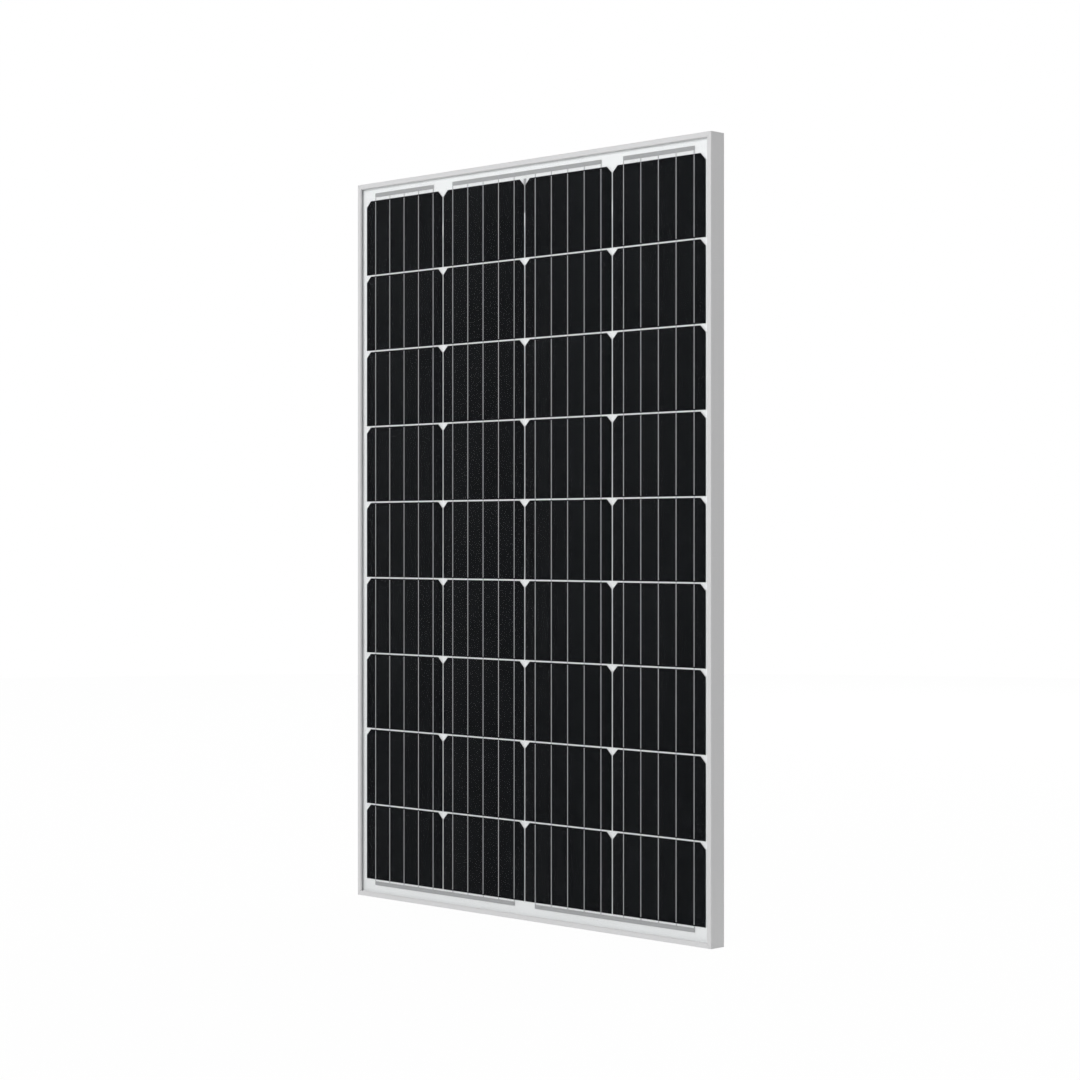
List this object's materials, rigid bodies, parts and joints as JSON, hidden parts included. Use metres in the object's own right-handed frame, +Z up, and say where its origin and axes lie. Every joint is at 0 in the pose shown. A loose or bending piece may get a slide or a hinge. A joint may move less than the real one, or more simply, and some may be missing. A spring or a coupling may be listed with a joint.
{
  "type": "solar panel",
  "caption": "Framed rectangular solar panel: glass-covered monocrystalline cells in an aluminium frame, with a hinged-lid junction box on its back.",
  "frame": {"origin": "centre of the plane of the frame's four rear flanges, where the panel bolts to its rack", "axes": "+Z up the long side towards the end with the junction box, +X across the panel to the right as seen from the glass side, +Y out of the back, so the glass faces -Y"},
  "size_m": [0.66, 0.025, 1.005],
  "materials": {
    "anodised_aluminium": "fine matt silver anodising",
    "key_aluminium": "plain mill finish",
    "solar_glass": "clear low-iron glass with a faint antireflective texture",
    "encapsulant": "clear soft laminating film",
    "silicon_cell": "near-black textured silicon with silver ribbons",
    "tinned_copper": "dull tinned copper",
    "insulation_film": "white film",
    "white_backsheet": "matt white film",
    "grey_silicone": "cured silicone",
    "black_plastic": "fine moulded texture",
    "black_rubber": "matt rubber",
    "plated_steel": "zinc plated",
    "black_epoxy": "moulded epoxy"
  },
  "bodies": {
    "panel": {"frame_rail_left": "anodised_aluminium", "frame_rail_right": "anodised_aluminium", "frame_rail_top": "anodised_aluminium", "frame_rail_bottom": "anodised_aluminium", "corner_key_top_left": "key_aluminium", "corner_key_top_right": "key_aluminium", "corner_key_bottom_left": "key_aluminium", "corner_key_bottom_right": "key_aluminium", "edge_sealant": "grey_silicone", "box_adhesive": "grey_silicone", "front_glass": "solar_glass", "front_encapsulant": "encapsulant", "rear_encapsulant": "encapsulant", "cell_string_1": "silicon_cell", "cell_string_2": "silicon_cell", "cell_string_3": "silicon_cell", "cell_string_4": "silicon_cell", "bus_top_left": "tinned_copper", "bus_top_middle": "tinned_copper", "bus_top_right": "tinned_copper", "bus_bottom_left": "tinned_copper", "bus_bottom_right": "tinned_copper", "lead_left": "tinned_copper", "lead_middle": "tinned_copper", "lead_right": "tinned_copper", "terminal_left": "tinned_copper", "terminal_middle": "tinned_copper", "terminal_right": "tinned_copper", "insulation_strip": "insulation_film", "backsheet": "white_backsheet", "junction_box_base": "black_plastic", "lid_seal": "black_rubber", "gland_seal_left": "black_rubber", "gland_seal_right": "black_rubber", "hinge_pin_left": "plated_steel", "hinge_pin_right": "plated_steel", "bypass_diode_left": "black_epoxy", "bypass_diode_right": "black_epoxy"},
    "junction_box_lid": {"junction_box_lid": "black_plastic"},
    "gland_ring_left": {"clamping_ring_left": "black_plastic"},
    "gland_nut_left": {"gland_nut_left": "black_plastic"},
    "cable_clamp_left": {"cable_clamp_left": "plated_steel"},
    "clamp_screw_left": {"clamp_screw_left": "plated_steel"},
    "gland_ring_right": {"clamping_ring_right": "black_plastic"},
    "gland_nut_right": {"gland_nut_right": "black_plastic"},
    "cable_clamp_right": {"cable_clamp_right": "plated_steel"},
    "clamp_screw_right": {"clamp_screw_right": "plated_steel"}
  },
  "joints": [
    {"name": "lid_hinge", "type": "hinge", "parent": "panel", "child": "junction_box_lid", "pos_m": [0, -0.004, 0.443], "axis": [1, 0, 0], "range_deg": [0, 110]},
    {"name": "gland_travel_left", "type": "slide", "parent": "panel", "child": "gland_ring_left", "axis": [0, 0, -1], "range_m": [0, 0.006]},
    {"name": "gland_turn_left", "type": "hinge", "parent": "gland_ring_left", "child": "gland_nut_left", "pos_m": [-0.03, -0.00984, 0.336], "axis": [0, 0, -1], "range_deg": [0, 1440]},
    {"name": "clamp_travel_left", "type": "slide", "parent": "panel", "child": "cable_clamp_left", "axis": [0, 1, 0], "range_m": [0, 0.002]},
    {"name": "clamp_turn_left", "type": "hinge", "parent": "cable_clamp_left", "child": "clamp_screw_left", "pos_m": [-0.03, -0.01204, 0.406], "axis": [0, 1, 0], "range_deg": [0, 1440]},
    {"name": "gland_travel_right", "type": "slide", "parent": "panel", "child": "gland_ring_right", "axis": [0, 0, -1], "range_m": [0, 0.006]},
    {"name": "gland_turn_right", "type": "hinge", "parent": "gland_ring_right", "child": "gland_nut_right", "pos_m": [0.03, -0.00984, 0.336], "axis": [0, 0, -1], "range_deg": [0, 1440]},
    {"name": "clamp_travel_right", "type": "slide", "parent": "panel", "child": "cable_clamp_right", "axis": [0, 1, 0], "range_m": [0, 0.002]},
    {"name": "clamp_turn_right", "type": "hinge", "parent": "cable_clamp_right", "child": "clamp_screw_right", "pos_m": [0.03, -0.01204, 0.406], "axis": [0, 1, 0], "range_deg": [0, 1440]}
  ],
  "couplings": [
    {"joint": "gland_turn_left", "follows": "gland_travel_left", "rad_per_m": 4188.8},
    {"joint": "clamp_turn_left", "follows": "clamp_travel_left", "rad_per_m": 12566},
    {"joint": "gland_turn_right", "follows": "gland_travel_right", "rad_per_m": 4188.8},
    {"joint": "clamp_turn_right", "follows": "clamp_travel_right", "rad_per_m": 12566}
  ]
}
